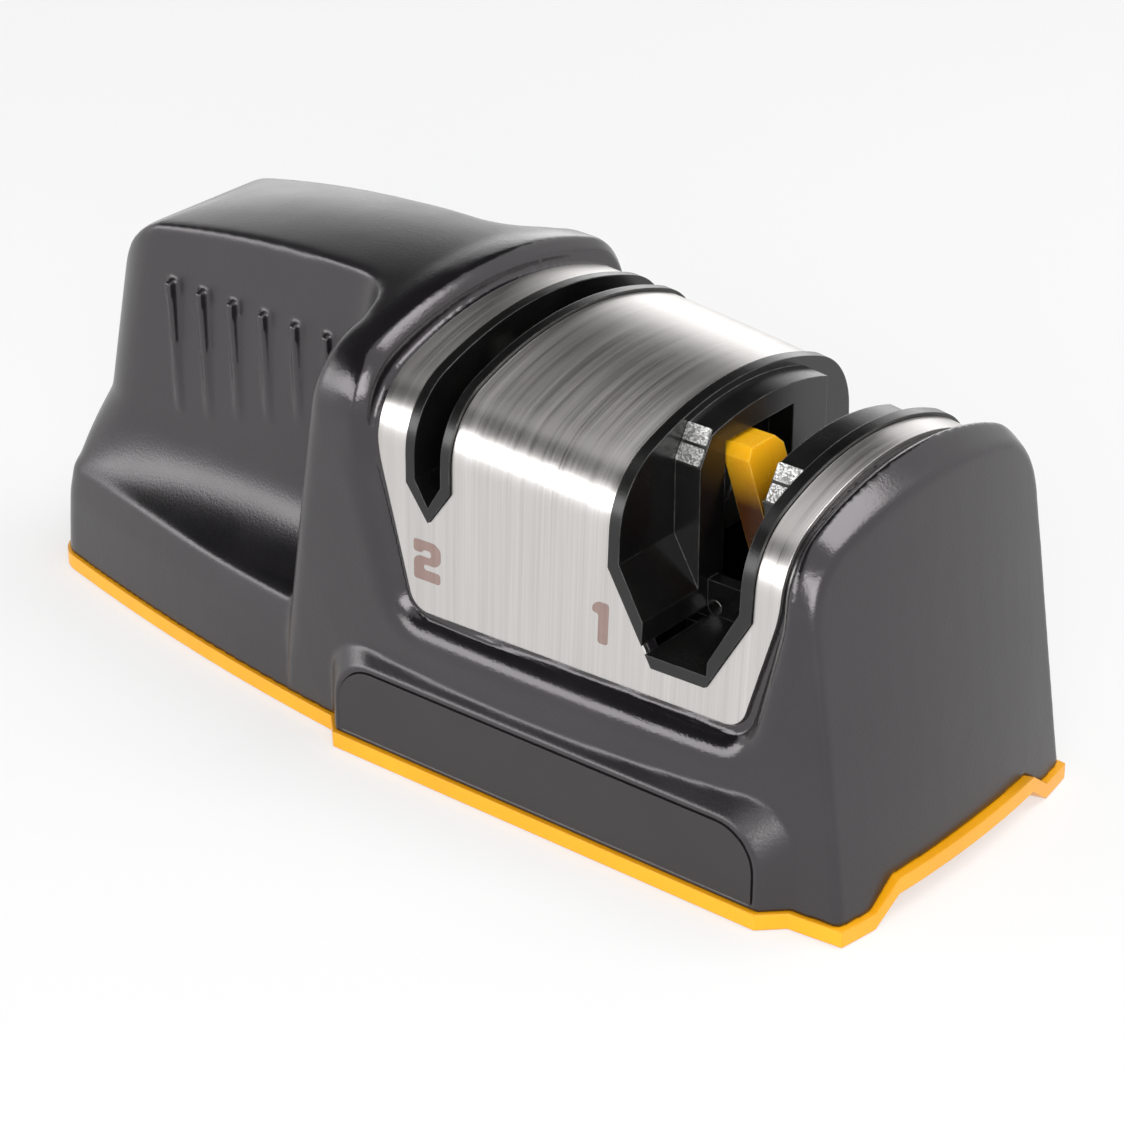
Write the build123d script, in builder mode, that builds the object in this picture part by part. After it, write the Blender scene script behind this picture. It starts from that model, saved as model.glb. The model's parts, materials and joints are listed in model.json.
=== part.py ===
from build123d import *
from math import cos, radians, sin, sqrt, tan
import os

os.makedirs("parts", exist_ok=True)

# Footprint: +X runs to the right end, -Y to the front, millimetres throughout
foot_left, foot_left_half = -92.4, 17.8
foot_wide_x, foot_wide_half = 28.0, 34.0
foot_right, foot_right_half = 89.8, 31.0
end_bulge = 2.6
left_corner_r = 7.0
pad_height = 0.25
plate_thickness = 2.75
rim_proud = 0.5

# Tall body: half width at the shoulder, crown against the wide station and drop to the shoulder, by station along X
collar_x, wide_x, right_x, end_x = -23.2, 28.0, 78.0, 94.0
wide_half, wide_crown, wide_drop = 34.0, 75.2, 8.7
collar_half, collar_rise, collar_drop = 34.6, 1.7, 7.9
right_half, right_fall, right_drop = 30.9, 6.8, 8.4
end_half, end_fall, end_drop = 28.0, 18.2, 7.0
collar_crown, right_crown, end_crown = wide_crown + collar_rise, wide_crown - right_fall, wide_crown - end_fall
body_corner_r, end_corner_r = 13.0, 12.0
end_lean, collar_lean = 8.5, 12.0
end_edge_r, collar_edge_r = 1.4, 4.0
wall, cavity_spare = 2.4, 1.0

# Steel cover: outer skin by station, sheet, and the bevelled window that it lies in
steel_left_x, steel_mid_x, steel_right_x = -12.0, 35.0, 85.0
steel_left_foot, steel_left_half, steel_left_drop, steel_left_fall = 32.6, 32.9, 9.0, 1.2
steel_mid_foot, steel_mid_half, steel_mid_drop, steel_mid_fall = 32.2, 29.8, 8.2, 4.3
steel_right_foot, steel_right_half, steel_right_drop, steel_right_fall = 31.6, 27.0, 8.8, 9.4
steel_corner_r = 12.5
sheet, sheet_gap = 0.8, 0.05
window_left, window_left_knee, window_left_low = -0.6, wide_crown - 19.2, 6.2
window_right, window_right_knee, window_right_low = 74.8, wide_crown - 25.2, 69.5
window_bottom = 29.5
window_corner_r, window_knee_r = 4.0, 25.0
window_bevel, window_lip, lip_drop = 1.8, 1.4, 0.4
border_gap = 0.25

# Handle: flange, cove and grip, as half widths at the left end, the middle and the collar
flange_wall_z, flange_draft, flange_step = 14.5, 0.7, 1.8
cove_r, cove_z, grip_top_z = 16.0, 34.7, wide_crown + 4.8
wall_grip = dict(left=-86.3, half_left=14.2, half_mid=14.6, half_right=15.2, neck=8.0, corner=11.0)
top_grip = dict(left=-77.6, half_left=13.6, half_mid=14.0, half_right=14.4, neck=8.0, corner=12.5)
cove_left, cove_half_left, cove_neck, cove_corner, cove_end_power = -90.4, 15.4, 2.0, 6.0, 1.7
grip_mid_x = -56.0
cove_angles = (65, 48, 32, 16, 0)
roof_falls = ((-100.0, 12.4), (-55.0, 0.9), (-8.0, -1.45))
roof_half, roof_drop = 40.0, 10.4
flange_overlap, foot_overlap, neck_overlap, neck_sink = 2.0, 2.0, 4.0, 0.8
grip_end_low, grip_end_high, grip_end_r = (-84.9, 42.0), (-78.9, wide_crown - 5.2), 30.0
grip_top_x, grip_top_high = 0.0, wide_crown + 10.2
rib_count, rib_first_x, rib_pitch, rib_width = 6, -62.8, 7.2, 1.4
rib_low_z, rib_high_z = 37.5, wide_crown - 13.2
rib_low_half, rib_high_half = 14.6, 15.9
grip_wall_levels = ((-1.0, -79.0, 14.5), (40.0, -76.0, 12.2), (wide_crown - 7.2, -66.0, 11.0))
grip_cavity_right, grip_cavity_r = -11.0, 6.0

# Bumps on the front and back that carry the bare nameplates
bump_left, bump_right, bump_half, bump_top = -8.5, 77.0, 35.5, 17.2
bump_corner_r, bump_flare, bump_root_half = 8.0, 3.8, 31.8
label_inset, label_depth, label_gap = 0.9, 0.8, 0.12

# Arch under the right end
arch_start_x, arch_start_half, arch_start_run, arch_start_rise = 50.0, 8.0, 4.0, 0.4
arch_end_x, arch_end_half, arch_end_run, arch_end_rise = 98.0, 20.5, 5.6, 4.5

# Coarse slot and its guide
coarse_x = 57.0
coarse_left, coarse_left_knee, coarse_low_left = 44.2, 49.0, 52.9
coarse_right, coarse_right_knee, coarse_low_right = 70.0, 47.5, 62.8
coarse_bottom = 34.7
liner, liner_proud = 2.0, 0.5
housing_slot_gap, steel_slot_gap = 0.15, 0.1
cheek_gap, cheek_half_length, cheek_drop = 12.0, 16.5, 0.8
left_chamfer_z, right_chamfer_z, chamfer_lean = wide_crown - 13.0, wide_crown - 14.6, 31.0
pocket_depth, pocket_top, pocket_floor = 4.6, wide_crown - 10.6, 33.8
pocket_arm_end, pocket_free_end = 10.2, 7.4
pocket_relief, pocket_relief_top = 2.4, 44.0
guide_foot_half_x, guide_foot_half_y, guide_foot_top = 8.0, 16.5, 36.0
cross_wall_half, cross_wall, cross_wall_top, cross_wall_half_x = 11.5, 2.5, 42.5, 8.0

# Abrasive arms, which cross in the coarse slot, with their pins, plates, springs and grit pads
edge_angle = 20.0
vee_z = wide_crown - 18.2
arm_thickness, arm_top, arm_length, arm_split = 4.6, wide_crown - 11.4, 9.0, 0.8
pivot_offset, pivot_z, arm_boss_r, arm_chamfer = 4.5, 38.0, 3.3, 1.6
pin_r, pin_half_length, pin_arm_clearance, pin_guide_clearance = 1.25, 14.0, 0.05, 0.02
grit_low_z, grit_high_z, grit_thickness, grit_margin = 42.5, wide_crown - 19.2, 0.8, 0.6
leaf_thickness, leaf_length, leaf_low_z, leaf_high_z, leaf_bow, leaf_gap = 0.4, 6.0, wide_crown - 24.2, wide_crown - 11.2, 4.55, 0.1
pad_width, pad_rise, pad_divider, pad_thickness, pad_corner_r = 4.5, 2.8, 0.5, 0.35, 0.3

# Fine slot, its guide and its ceramic rods
fine_x, fine_half, fine_knee, fine_tip = 9.75, 4.25, 52.0, 46.0
fine_liner = 1.7
fine_window_half, fine_window_low, fine_window_high = 9.0, 42.0, wide_crown - 8.7
fine_leg_half_x, fine_leg_inner, fine_leg_outer, fine_leg_top = 3.2, 11.0, 18.0, 48.0
rod_r, rod_cross_z, rod_top, rod_foot, rod_y, rod_clearance = 2.0, wide_crown - 19.2, wide_crown - 9.2, 40.0, 4.0, 0.03
cradle_half_x, cradle_half_y, cradle_top = 8.8, 8.6, 47.0

# Inner frame, fasteners and feet
frame_left, frame_right, frame_half, frame_top, frame_sheet = -1.0, 72.0, 23.0, 27.5, 3.0
leg_places = [(3.0, -19.0), (3.0, 19.0), (46.0, -19.0), (46.0, 19.0)]
leg_r = 4.0
handle_boss_places = [(-66.0, 0.0), (-36.0, 0.0)]
side_boss_places = [(-10.0, -25.0), (-10.0, 25.0), (76.0, -25.5), (76.0, 25.5)]
boss_r, handle_boss_top, side_boss_top = 4.0, wide_crown - 6.2, 24.0
plate_boss_r, plate_boss_top, plate_boss_gap = 4.8, 6.5, 0.2
screw_r, screw_head_r, screw_head_height, screw_length = 1.4, 2.7, 1.7, 9.0
screw_clearance, head_clearance, pilot_clearance, pilot_spare = 0.2, 0.3, 0.02, 0.6
drive_length, drive_width, drive_depth = 3.4, 0.8, 0.9
head_cover = 1.8
guide_screw_y, fine_screw_y, cradle_screw_y = 14.0, 14.5, 4.3
foot_places = [(-80.0, -9.0), (-80.0, 9.0), (64.0, -27.0), (64.0, 27.0)]
foot_r, foot_recess = 4.5, 0.8

far, aside, touching = 120.0, 40.0, 1e-4
flange_z = cove_z - cove_r * sin(radians(cove_angles[0]))
joint_z = pad_height + plate_thickness
frame_low = frame_top - frame_sheet
pivot_x = coarse_x + pivot_offset
gap_floor = coarse_bottom + liner
cheek_reach = min(coarse_x - coarse_left, coarse_right - coarse_x) - liner
coarse_axis = Axis((coarse_x, 0, 0), (0, 0, 1))
end_radius = (foot_right_half**2 + end_bulge**2) / (2 * end_bulge)
side_arc = Edge.make_three_point_arc(
    (foot_left, -foot_left_half), (foot_wide_x, -foot_wide_half), (foot_right, -foot_right_half)
)
low_align = (Align.CENTER, Align.CENTER, Align.MIN)


def foot_half(x):
    return sqrt(side_arc.radius**2 - (x - side_arc.arc_center.X) ** 2) - side_arc.arc_center.Y


def end_face_x(y):
    return foot_right + end_bulge - end_radius + sqrt(end_radius**2 - y**2)


def barrel(x, foot, half, shoulder, crown, corner, inset=0.0, low=joint_z):
    with BuildSketch(Plane.YZ.offset(x)) as section:
        with BuildLine():
            left = (-half + inset, shoulder - inset)
            right = (half - inset, shoulder - inset)
            Polyline(left, (-foot + inset, low), (foot - inset, low), right)
            ThreePointArc(left, (0, crown - inset), right)
        make_face()
        fillet(section.vertices().group_by(Axis.Y)[-1], corner - inset)
    return section.sketch


def steel_barrel(inset, low=joint_z):
    stations = (
        (steel_left_x, steel_left_foot, steel_left_half, steel_left_drop, steel_left_fall),
        (steel_mid_x, steel_mid_foot, steel_mid_half, steel_mid_drop, steel_mid_fall),
        (steel_right_x, steel_right_foot, steel_right_half, steel_right_drop, steel_right_fall),
    )
    return [
        barrel(x, foot, half, wide_crown - fall - drop, wide_crown - fall, steel_corner_r, inset, low)
        for x, foot, half, drop, fall in stations
    ]


def footprint(z, grow=0.0):
    with BuildSketch(Plane.XY.offset(z)) as outline:
        with BuildLine():
            front = ThreePointArc(
                (foot_left, -foot_left_half), (foot_wide_x, -foot_wide_half), (foot_right, -foot_right_half)
            )
            back = ThreePointArc(
                (foot_left, foot_left_half), (foot_wide_x, foot_wide_half), (foot_right, foot_right_half)
            )
            ThreePointArc(front @ 1, (foot_right + end_bulge, 0), back @ 1)
            Line(front @ 0, back @ 0)
        make_face()
        fillet(outline.vertices().group_by(Axis.X)[0], left_corner_r)
        if grow:
            offset(amount=grow)
    return outline.sketch


def handle_foot(z, inset):
    with BuildSketch(Plane.XY.offset(z)) as outline:
        add(footprint(0, -inset))
        with Locations((collar_x + foot_overlap - far / 2, 0)):
            Rectangle(far, far, mode=Mode.INTERSECT)
    return outline.sketch


def collar_face_x(z):
    return collar_x + (z - flange_z) * tan(radians(collar_lean))


def grip_section(z, left, half_left, half_mid, half_right, neck, corner):
    root_x = collar_face_x(z)
    with BuildSketch(Plane.XY.offset(z)) as section:
        with BuildLine():
            side = ThreePointArc((left, -half_left), (grip_mid_x, -half_mid), (root_x - neck, -half_right))
            flare = TangentArc(side @ 1, (root_x + neck_sink, -half_right - neck), tangent=side % 1)
            inner = Line(flare @ 1, (root_x + neck_overlap, -half_right - neck))
            Line(inner @ 1, (root_x + neck_overlap, 0))
            Line((left, -half_left), (left, 0))
            mirror(about=Plane.XZ)
        make_face()
        fillet(section.vertices().group_by(Axis.X)[0], corner)
    return section.sketch


def window(grow):
    with BuildSketch(Plane.XZ) as outline:
        with BuildLine():
            Polyline(
                (window_left - grow, far),
                (window_left - grow, window_left_knee),
                (window_left_low - grow, window_bottom - grow),
                (window_right_low + grow, window_bottom - grow),
                (window_right + grow, window_right_knee),
                (window_right + grow, far),
                close=True,
            )
        make_face()
        fillet(outline.vertices().group_by(Axis.Y)[0], window_corner_r + grow)
        for knee in ((window_left - grow, window_left_knee), (window_right + grow, window_right_knee)):
            fillet(outline.vertices().sort_by_distance((*knee, 0))[0], window_knee_r)
    return outline.sketch


def coarse_mouth(grow):
    with BuildSketch(Plane.XZ) as outline:
        with BuildLine():
            Polyline(
                (coarse_left - grow, far),
                (coarse_left - grow, coarse_left_knee - grow / 2),
                (coarse_low_left - grow / 2, coarse_bottom - grow),
                (coarse_low_right + grow / 2, coarse_bottom - grow),
                (coarse_right + grow, coarse_right_knee - grow / 2),
                (coarse_right + grow, far),
                close=True,
            )
        make_face()
    return outline.sketch


def fine_mouth(grow):
    with BuildSketch(Plane.XZ) as outline:
        with BuildLine():
            Polyline(
                (fine_x - fine_half - grow, far),
                (fine_x - fine_half - grow, fine_knee - grow / 2),
                (fine_x, fine_tip - grow * 1.5),
                (fine_x + fine_half + grow, fine_knee - grow / 2),
                (fine_x + fine_half + grow, far),
                close=True,
            )
        make_face()
    return outline.sketch


def bump_outline(y, grow):
    with BuildSketch(Plane.XZ.offset(-y)) as outline:
        with BuildLine():
            Polyline(
                (bump_left - grow, joint_z),
                (bump_left - grow, bump_top + grow),
                (bump_right + grow, bump_top + grow),
                (bump_right + grow, joint_z),
                close=True,
            )
        make_face()
        fillet(outline.vertices().group_by(Axis.Y)[-1], bump_corner_r)
    return outline.sketch


def label_outline(y, inset):
    with BuildSketch(Plane.XZ.offset(-y)) as outline:
        with BuildLine():
            Polyline(
                (bump_left + inset, joint_z + inset),
                (bump_left + inset, bump_top - inset),
                (bump_right - inset, bump_top - inset),
                (bump_right - inset, joint_z + inset),
                close=True,
            )
        make_face()
        fillet(outline.vertices().group_by(Axis.Y)[-1], bump_corner_r - inset)
    return outline.sketch


def arch_section(x, half, run, rise, level):
    with BuildSketch(Plane.YZ.offset(x)) as section:
        with BuildLine():
            Polyline(
                (-half - run, -far),
                (-half - run, level),
                (-half, level + rise),
                (half, level + rise),
                (half + run, level),
                (half + run, -far),
                close=True,
            )
        make_face()
    return section.sketch


def arch(level):
    start = arch_section(arch_start_x, arch_start_half, arch_start_run, arch_start_rise, level)
    finish = arch_section(arch_end_x, arch_end_half, arch_end_run, arch_end_rise, level)
    return [start, finish]


def arm_face_x(z, depth=0.0):
    return coarse_x + (vee_z - z) * tan(radians(edge_angle)) - depth / cos(radians(edge_angle))


def leaning(x, y, low, high, lean):
    rise = cos(radians(lean))
    start = (x - (rod_cross_z - low) * tan(radians(lean)), y, low)
    return Location(start, (0, lean, 0)), (high - low) / rise


# Shapes that several pieces share
with BuildPart() as seat_form:
    loft(steel_barrel(sheet + sheet_gap))

with BuildPart() as sheet_form:
    loft(steel_barrel(sheet))

with BuildPart() as steel_form:
    loft(steel_barrel(0))

with BuildPart() as lip_form:
    loft(steel_barrel(lip_drop))

with BuildPart() as proud_form:
    loft(steel_barrel(-liner_proud))

with BuildPart() as cheek_form:
    loft(steel_barrel(cheek_drop))

with BuildPart() as border_recess:
    extrude(window(window_lip), amount=far, both=True)
    add(lip_form.part, mode=Mode.SUBTRACT)

with BuildPart() as seat_recess:
    extrude(window(0), amount=far, both=True)
    add(seat_form.part, mode=Mode.SUBTRACT)

with BuildPart() as body_cavity:
    loft(steel_barrel(sheet + wall, low=-cavity_spare))
    with BuildSketch(Plane.XY.offset(-2 * cavity_spare)):
        with Locations((foot_right - wall - far, 0)):
            Rectangle(2 * far, far)
    extrude(amount=far, dir=(-sin(radians(end_lean)), 0, cos(radians(end_lean))), mode=Mode.INTERSECT)

with BuildPart() as grip_cavity:
    for level, left, half in grip_wall_levels:
        with BuildSketch(Plane.XY.offset(level)):
            with Locations(((left + grip_cavity_right) / 2, 0)):
                RectangleRounded(grip_cavity_right - left, 2 * half, grip_cavity_r)
    loft(ruled=True)

with BuildPart() as grip:
    cove = []
    for angle in cove_angles:
        level = cove_z - cove_r * sin(radians(angle))
        flare = cove_r * (1 - cos(radians(angle)))
        rise = (level - flange_z) / (cove_z - flange_z)
        sizes = dict(wall_grip)
        sizes["half_mid"] += flare
        sizes["half_right"] += flare
        sizes["half_left"] = cove_half_left + (wall_grip["half_left"] - cove_half_left) * rise
        sizes["left"] = cove_left + (wall_grip["left"] - cove_left) * rise**cove_end_power
        sizes["neck"] = cove_neck + (wall_grip["neck"] - cove_neck) * rise
        sizes["corner"] = cove_corner + (wall_grip["corner"] - cove_corner) * rise
        cove.append(grip_section(level, **sizes))
    loft(cove)
    extrude(cove[0], amount=-flange_overlap)
    loft([grip_section(cove_z, **wall_grip), grip_section(grip_top_z, **top_grip)])
    loft(
        [
            barrel(x, roof_half, roof_half, wide_crown - fall - roof_drop, wide_crown - fall, body_corner_r)
            for x, fall in roof_falls
        ],
        mode=Mode.INTERSECT,
    )
    with BuildSketch(Plane.XZ) as grip_side:
        with BuildLine():
            Polyline(
                (-far, 0), (-far, grip_end_low[1]), grip_end_low, grip_end_high,
                (grip_top_x, grip_top_high), (grip_top_x, 0), close=True,
            )
        make_face()
        fillet(grip_side.vertices().sort_by_distance((*grip_end_high, 0))[0], grip_end_r)
    extrude(amount=far, both=True, mode=Mode.INTERSECT)

# Housing shell: tall body with its window, handle, bumps, then everything that is hollow
with BuildPart() as housing_shell:
    right_section = barrel(
        right_x, foot_half(right_x), right_half, right_crown - right_drop, right_crown, body_corner_r
    )
    loft([
        barrel(collar_x, foot_half(collar_x), collar_half, collar_crown - collar_drop, collar_crown, body_corner_r),
        barrel(wide_x, foot_half(wide_x), wide_half, wide_crown - wide_drop, wide_crown, body_corner_r),
        right_section,
    ])
    with BuildSketch(Plane.XZ):
        with BuildLine():
            Polyline(
                (-far, flange_z), (collar_x, flange_z), (collar_face_x(far), far), (-far, far), close=True,
            )
        make_face()
    extrude(amount=far, both=True, mode=Mode.SUBTRACT)
    collar_face = max(housing_shell.faces(), key=lambda face: -face.normal_at().X * (face.center().Z > flange_z))
    fillet([edge for edge in collar_face.edges() if edge.center().Z > flange_z + collar_edge_r], collar_edge_r)
    loft([right_section, barrel(end_x, foot_half(end_x), end_half, end_crown - end_drop, end_crown, end_corner_r)])
    with BuildSketch():
        with BuildLine():
            bulge = ThreePointArc(
                (end_face_x(aside), -aside), (foot_right + end_bulge, 0), (end_face_x(aside), aside)
            )
            Polyline(bulge @ 0, (-far, -aside), (-far, aside), bulge @ 1)
        make_face()
    extrude(amount=far, dir=(-sin(radians(end_lean)), 0, cos(radians(end_lean))), mode=Mode.INTERSECT)
    end_face = housing_shell.faces().sort_by(Axis.X)[-1]
    fillet([edge for edge in end_face.edges() if edge.center().Z > flange_z], end_edge_r)
    plain_edges = housing_shell.edges()
    add(border_recess.part, mode=Mode.SUBTRACT)
    border = [
        edge
        for edge in housing_shell.edges() - plain_edges
        if lip_form.part.distance_to(edge) > lip_drop / 2
        and border_recess.part.distance_to(edge @ 0) < touching
        and border_recess.part.distance_to(edge @ 1) < touching
    ]
    chamfer(border, window_bevel)
    add(seat_recess.part, mode=Mode.SUBTRACT)
    loft([handle_foot(joint_z, 0.0), handle_foot(flange_wall_z, flange_draft)])
    loft([handle_foot(flange_wall_z, flange_draft), handle_foot(flange_z, flange_step)])
    add(grip.part)
    for side in (-1, 1):
        loft([bump_outline(side * bump_half, 0), bump_outline(side * bump_root_half, bump_flare)])
        extrude(label_outline(side * bump_half, label_inset), amount=side * label_depth, mode=Mode.SUBTRACT)
    for rib in range(rib_count):
        with BuildSketch(Plane.YZ.offset(rib_first_x + rib * rib_pitch)):
            with BuildLine():
                Polyline(
                    (-rib_low_half, rib_low_z), (rib_low_half, rib_low_z),
                    (rib_high_half, rib_high_z), (-rib_high_half, rib_high_z),
                    close=True,
                )
            make_face()
        extrude(amount=rib_width / 2, both=True)
    add(body_cavity.part, mode=Mode.SUBTRACT)
    add(grip_cavity.part, mode=Mode.SUBTRACT)
    for mouth in (coarse_mouth(housing_slot_gap), fine_mouth(housing_slot_gap)):
        extrude(mouth, amount=far, both=True, mode=Mode.SUBTRACT)
    loft(arch(joint_z), mode=Mode.SUBTRACT)
    for places, top in ((handle_boss_places, handle_boss_top), (side_boss_places, side_boss_top)):
        for place in places:
            with Locations((*place, joint_z)):
                Cylinder(boss_r, top - joint_z, align=low_align)
                Cylinder(
                    plate_boss_r + plate_boss_gap, plate_boss_top - joint_z,
                    align=low_align, mode=Mode.SUBTRACT,
                )
                Cylinder(
                    screw_r + pilot_clearance, plate_boss_top - joint_z - head_cover + screw_length + pilot_spare,
                    align=low_align, mode=Mode.SUBTRACT,
                )
housing_shell.part.label = "housing_shell"
export_step(housing_shell.part, "parts/housing_shell.step")

# Base plate: the coloured rim, the arch, screw bosses and recesses for the feet
with BuildPart() as base_plate:
    with BuildSketch(Plane.XY.offset(pad_height)) as rim:
        add(footprint(0))
        for side in (-1, 1):
            with BuildLine():
                Polyline(
                    (bump_left - bump_flare, side * bump_root_half),
                    (bump_left, side * bump_half),
                    (bump_right, side * bump_half),
                    (bump_right + bump_flare, side * bump_root_half),
                    close=True,
                )
            make_face()
        offset(amount=rim_proud, kind=Kind.INTERSECTION)
    extrude(amount=plate_thickness)
    with BuildPart(mode=Mode.PRIVATE) as raised:
        extrude(rim.sketch, amount=2 * plate_thickness + arch_end_rise)
        loft(arch(joint_z), mode=Mode.INTERSECT)
    add(raised.part)
    loft(arch(pad_height), mode=Mode.SUBTRACT)
    for place in handle_boss_places + side_boss_places + leg_places:
        with Locations((*place, pad_height)):
            Cylinder(plate_boss_r, plate_boss_top - pad_height, align=low_align)
            Cylinder(
                screw_head_r + head_clearance, plate_boss_top - pad_height - head_cover,
                align=low_align, mode=Mode.SUBTRACT,
            )
            Cylinder(
                screw_r + screw_clearance, plate_boss_top - pad_height, align=low_align, mode=Mode.SUBTRACT
            )
    with Locations(*[(*place, pad_height) for place in foot_places]):
        Cylinder(foot_r, foot_recess, align=low_align, mode=Mode.SUBTRACT)
base_plate.part.label = "base_plate"
export_step(base_plate.part, "parts/base_plate.step")

# Bare nameplates, flush in the bumps
with BuildPart() as front_nameplate:
    extrude(label_outline(-bump_half, label_inset + label_gap), amount=-label_depth)
front_nameplate.part.label = "front_nameplate"
export_step(front_nameplate.part, "parts/front_nameplate.step")

with BuildPart() as rear_nameplate:
    extrude(label_outline(bump_half, label_inset + label_gap), amount=label_depth)
rear_nameplate.part.label = "rear_nameplate"
export_step(rear_nameplate.part, "parts/rear_nameplate.step")

# Steel cover, wrapped over the body from front to back
with BuildPart() as steel_cover:
    extrude(window(-border_gap), amount=far, both=True)
    add(steel_form.part, mode=Mode.INTERSECT)
    add(sheet_form.part, mode=Mode.SUBTRACT)
    for mouth in (coarse_mouth(steel_slot_gap), fine_mouth(steel_slot_gap)):
        extrude(mouth, amount=far, both=True, mode=Mode.SUBTRACT)
steel_cover.part.label = "steel_cover"
export_step(steel_cover.part, "parts/steel_cover.step")

# Coarse guide: lips, funnels at both ends, two cheeks with pockets, cross walls for the pins
with BuildPart() as coarse_guide:
    extrude(coarse_mouth(0), amount=far, both=True)
    add(proud_form.part, mode=Mode.INTERSECT)
    with BuildPart(mode=Mode.PRIVATE) as funnels:
        extrude(coarse_mouth(-liner), amount=far, both=True)
        Box(2 * far, 2 * cheek_half_length, 3 * far, mode=Mode.SUBTRACT)
    add(funnels.part, mode=Mode.SUBTRACT)
    for side, low in ((-1, left_chamfer_z), (1, right_chamfer_z)):
        with BuildSketch(Plane.YZ.offset(coarse_x)):
            with BuildLine():
                chamfer_top = -cheek_half_length + (far - low) * tan(radians(chamfer_lean))
                Polyline((-far, low), (-cheek_half_length, low), (chamfer_top, far), (-far, far), close=True)
            make_face()
            mirror(about=Plane.XZ)
        extrude(amount=side * cheek_reach, mode=Mode.SUBTRACT)
    with BuildPart(mode=Mode.PRIVATE) as cheek_tops:
        extrude(coarse_mouth(-liner), amount=far, both=True)
        add(cheek_form.part, mode=Mode.SUBTRACT)
    add(cheek_tops.part, mode=Mode.SUBTRACT)
    with Locations((coarse_x, 0, gap_floor)):
        Box(cheek_gap, 2 * far, far, align=low_align, mode=Mode.SUBTRACT)
    with Locations((coarse_x, 0, frame_top)):
        Box(2 * guide_foot_half_x, 2 * guide_foot_half_y, guide_foot_top - frame_top, align=low_align)
    with Locations((coarse_x, 0, pocket_floor)):
        Box(
            cheek_gap + 2 * pocket_relief, 2 * pocket_arm_end, pocket_relief_top - pocket_floor,
            align=low_align, mode=Mode.SUBTRACT,
        )
    for side in (-1, 1):
        pocket_y = side * (pocket_arm_end - pocket_free_end) / 2
        with Locations((coarse_x + side * (cheek_gap + pocket_depth) / 2, pocket_y, pocket_floor)):
            Box(
                pocket_depth, pocket_arm_end + pocket_free_end, pocket_top - pocket_floor,
                align=low_align, mode=Mode.SUBTRACT,
            )
    for side in (-1, 1):
        with Locations((coarse_x, side * (cross_wall_half + cross_wall / 2), pocket_floor)):
            Box(2 * cross_wall_half_x, cross_wall, cross_wall_top - pocket_floor, align=low_align)
    with Locations(*[Location((coarse_x + side * pivot_offset, 0, pivot_z), (90, 0, 0)) for side in (-1, 1)]):
        Cylinder(pin_r + pin_guide_clearance, 2 * pin_half_length + pilot_spare, mode=Mode.SUBTRACT)
    with Locations(*[(coarse_x, side * guide_screw_y, frame_top) for side in (-1, 1)]):
        Cylinder(
            screw_r + pilot_clearance, screw_length - frame_sheet + pilot_spare / 2,
            align=low_align, mode=Mode.SUBTRACT,
        )
coarse_guide.part.label = "coarse_guide"
export_step(coarse_guide.part, "parts/coarse_guide.step")

# Left arm: a leaning block on a pivot, with a recess for its diamond plate
with BuildPart() as left_arm:
    with BuildSketch(Plane.XZ.offset(arm_split)):
        with BuildLine():
            Polyline(
                (arm_face_x(arm_top), arm_top),
                (arm_face_x(pivot_z), pivot_z),
                (arm_face_x(pivot_z, arm_thickness), pivot_z),
                (arm_face_x(arm_top, arm_thickness), arm_top),
                close=True,
            )
        make_face()
        with Locations((pivot_x, pivot_z)):
            Circle(arm_boss_r)
            Circle(pin_r + pin_arm_clearance, mode=Mode.SUBTRACT)
    extrude(amount=arm_length)
    chamfer(left_arm.edges().filter_by(Axis.X).group_by(Axis.Z)[-1], arm_chamfer)
    with BuildSketch(Plane.XZ.offset(arm_split + grit_margin)) as grit_face:
        with BuildLine():
            Polyline(
                (arm_face_x(grit_low_z), grit_low_z),
                (arm_face_x(grit_high_z), grit_high_z),
                (arm_face_x(grit_high_z, grit_thickness), grit_high_z),
                (arm_face_x(grit_low_z, grit_thickness), grit_low_z),
                close=True,
            )
        make_face()
    extrude(amount=arm_length - 2 * grit_margin, mode=Mode.SUBTRACT)
left_arm.part.label = "left_arm"
export_step(left_arm.part, "parts/left_arm.step")

with BuildPart() as right_arm:
    add(left_arm.part.rotate(coarse_axis, 180))
right_arm.part.label = "right_arm"
export_step(right_arm.part, "parts/right_arm.step")

with BuildPart() as left_diamond_plate:
    extrude(grit_face.sketch, amount=arm_length - 2 * grit_margin)
left_diamond_plate.part.label = "left_diamond_plate"
export_step(left_diamond_plate.part, "parts/left_diamond_plate.step")

with BuildPart() as right_diamond_plate:
    add(left_diamond_plate.part.rotate(coarse_axis, 180))
right_diamond_plate.part.label = "right_diamond_plate"
export_step(right_diamond_plate.part, "parts/right_diamond_plate.step")

# Pivot pins
with BuildPart() as left_arm_pin:
    with Locations(Location((pivot_x, 0, pivot_z), (90, 0, 0))):
        Cylinder(pin_r, 2 * pin_half_length)
left_arm_pin.part.label = "left_arm_pin"
export_step(left_arm_pin.part, "parts/left_arm_pin.step")

with BuildPart() as right_arm_pin:
    add(left_arm_pin.part.rotate(coarse_axis, 180))
right_arm_pin.part.label = "right_arm_pin"
export_step(right_arm_pin.part, "parts/right_arm_pin.step")

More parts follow.
